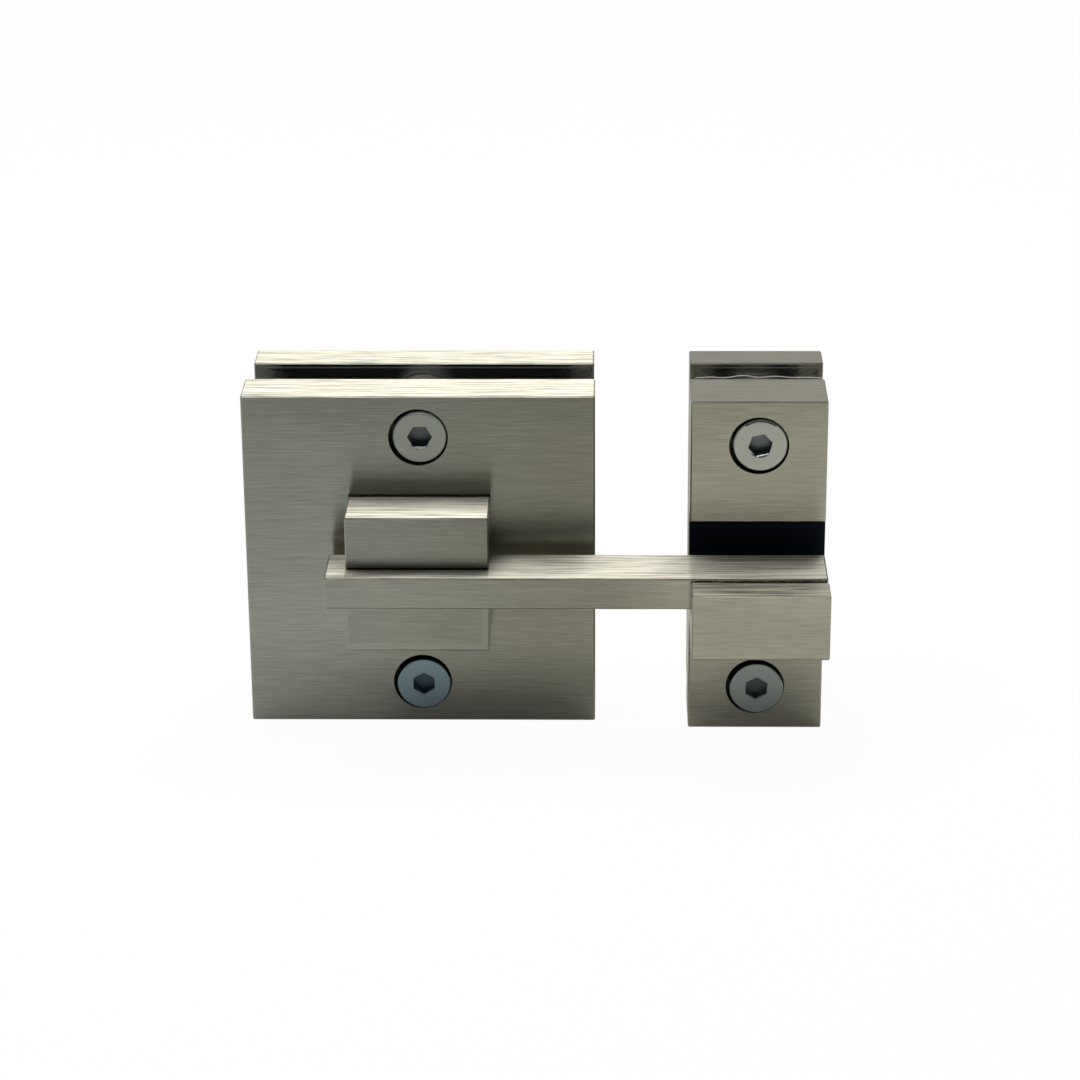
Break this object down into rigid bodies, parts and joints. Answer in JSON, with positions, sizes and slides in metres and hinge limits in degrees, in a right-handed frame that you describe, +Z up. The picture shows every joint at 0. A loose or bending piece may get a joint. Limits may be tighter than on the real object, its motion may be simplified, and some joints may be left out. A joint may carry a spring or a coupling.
{
  "type": "shower door latch",
  "caption": "Glass-mounted turning bar latch with square clamp plates, hooked keeper for the next panel, clamp screws and a rubber bumper.",
  "frame": {"origin": "centre of the bottom of the whole latch, both units together, at rest", "axes": "+Z up, +Y to the back through the glass, +X from the latch unit to the keeper unit"},
  "size_m": [0.1078, 0.0508, 0.0656],
  "materials": {
    "brushed_metal": "brushed nickel, fine lines across",
    "screw_steel": "satin",
    "post_brass": "turned",
    "clear_vinyl": "clear, soft",
    "bush_plastic": "plain",
    "black_rubber": "matt"
  },
  "bodies": {
    "fixed_units": {"latch_front_plate": "brushed_metal", "latch_back_plate": "brushed_metal", "latch_front_gasket": "clear_vinyl", "latch_back_gasket": "clear_vinyl", "latch_clamp_screws": "screw_steel", "latch_threaded_posts": "post_brass", "latch_post_sleeves": "clear_vinyl", "pivot_bush": "bush_plastic", "thrust_washer": "bush_plastic", "disc_spring": "screw_steel", "keeper_body": "brushed_metal", "keeper_back_plate": "brushed_metal", "keeper_front_gasket": "clear_vinyl", "keeper_back_gasket": "clear_vinyl", "keeper_clamp_screws": "screw_steel", "keeper_threaded_posts": "post_brass", "keeper_post_sleeves": "clear_vinyl", "rubber_bumper": "black_rubber"},
    "turning_bar": {"turn_hub": "brushed_metal", "latch_bar": "brushed_metal", "bar_fixing_screws": "screw_steel", "pivot_bolt": "screw_steel", "stop_pin": "screw_steel"}
  },
  "joints": [
    {"name": "bar_turn", "type": "hinge", "parent": "fixed_units", "child": "turning_bar", "pos_m": [-0.02138, -0.0071, 0.0325], "axis": [0, -1, 0], "range_deg": [0, 90]}
  ]
}
